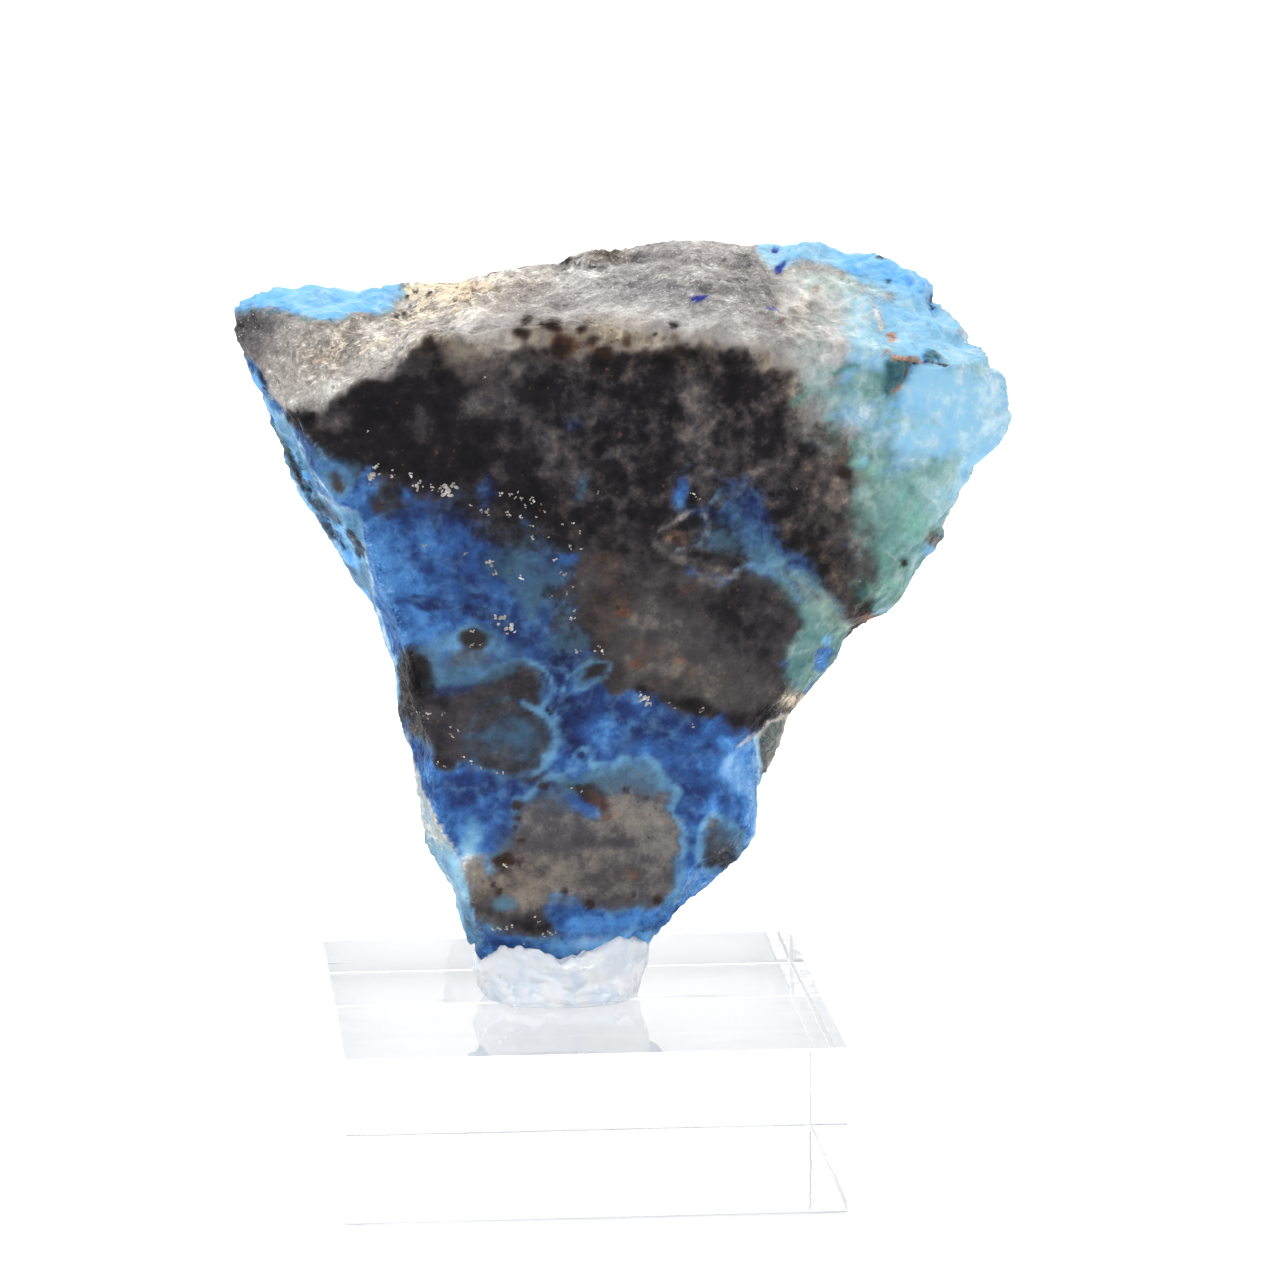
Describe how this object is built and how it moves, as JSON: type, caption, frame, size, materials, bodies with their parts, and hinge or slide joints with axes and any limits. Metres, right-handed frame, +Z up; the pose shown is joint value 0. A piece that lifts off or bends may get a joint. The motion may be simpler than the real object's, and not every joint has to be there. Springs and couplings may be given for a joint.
{
  "type": "azurite malachite specimen on a clear stand",
  "caption": "Rough blue, green and grey-brown azurite malachite stone with one smooth front face, held upright by clear mounting gel on a small clear acrylic block.",
  "frame": {"origin": "centre of the clear block's underside, on the surface it rests on", "axes": "+Z up; -Y is the front, towards which the stone's smooth face looks; +X to the right seen from the front"},
  "size_m": [0.046, 0.03, 0.0553],
  "materials": {
    "ore": "satin",
    "clear_gel": "gloss",
    "clear_acrylic": "polished"
  },
  "bodies": {
    "root": {"azurite_malachite_stone": "ore", "mounting_putty": "clear_gel", "acrylic_block": "clear_acrylic"}
  },
  "joints": []
}
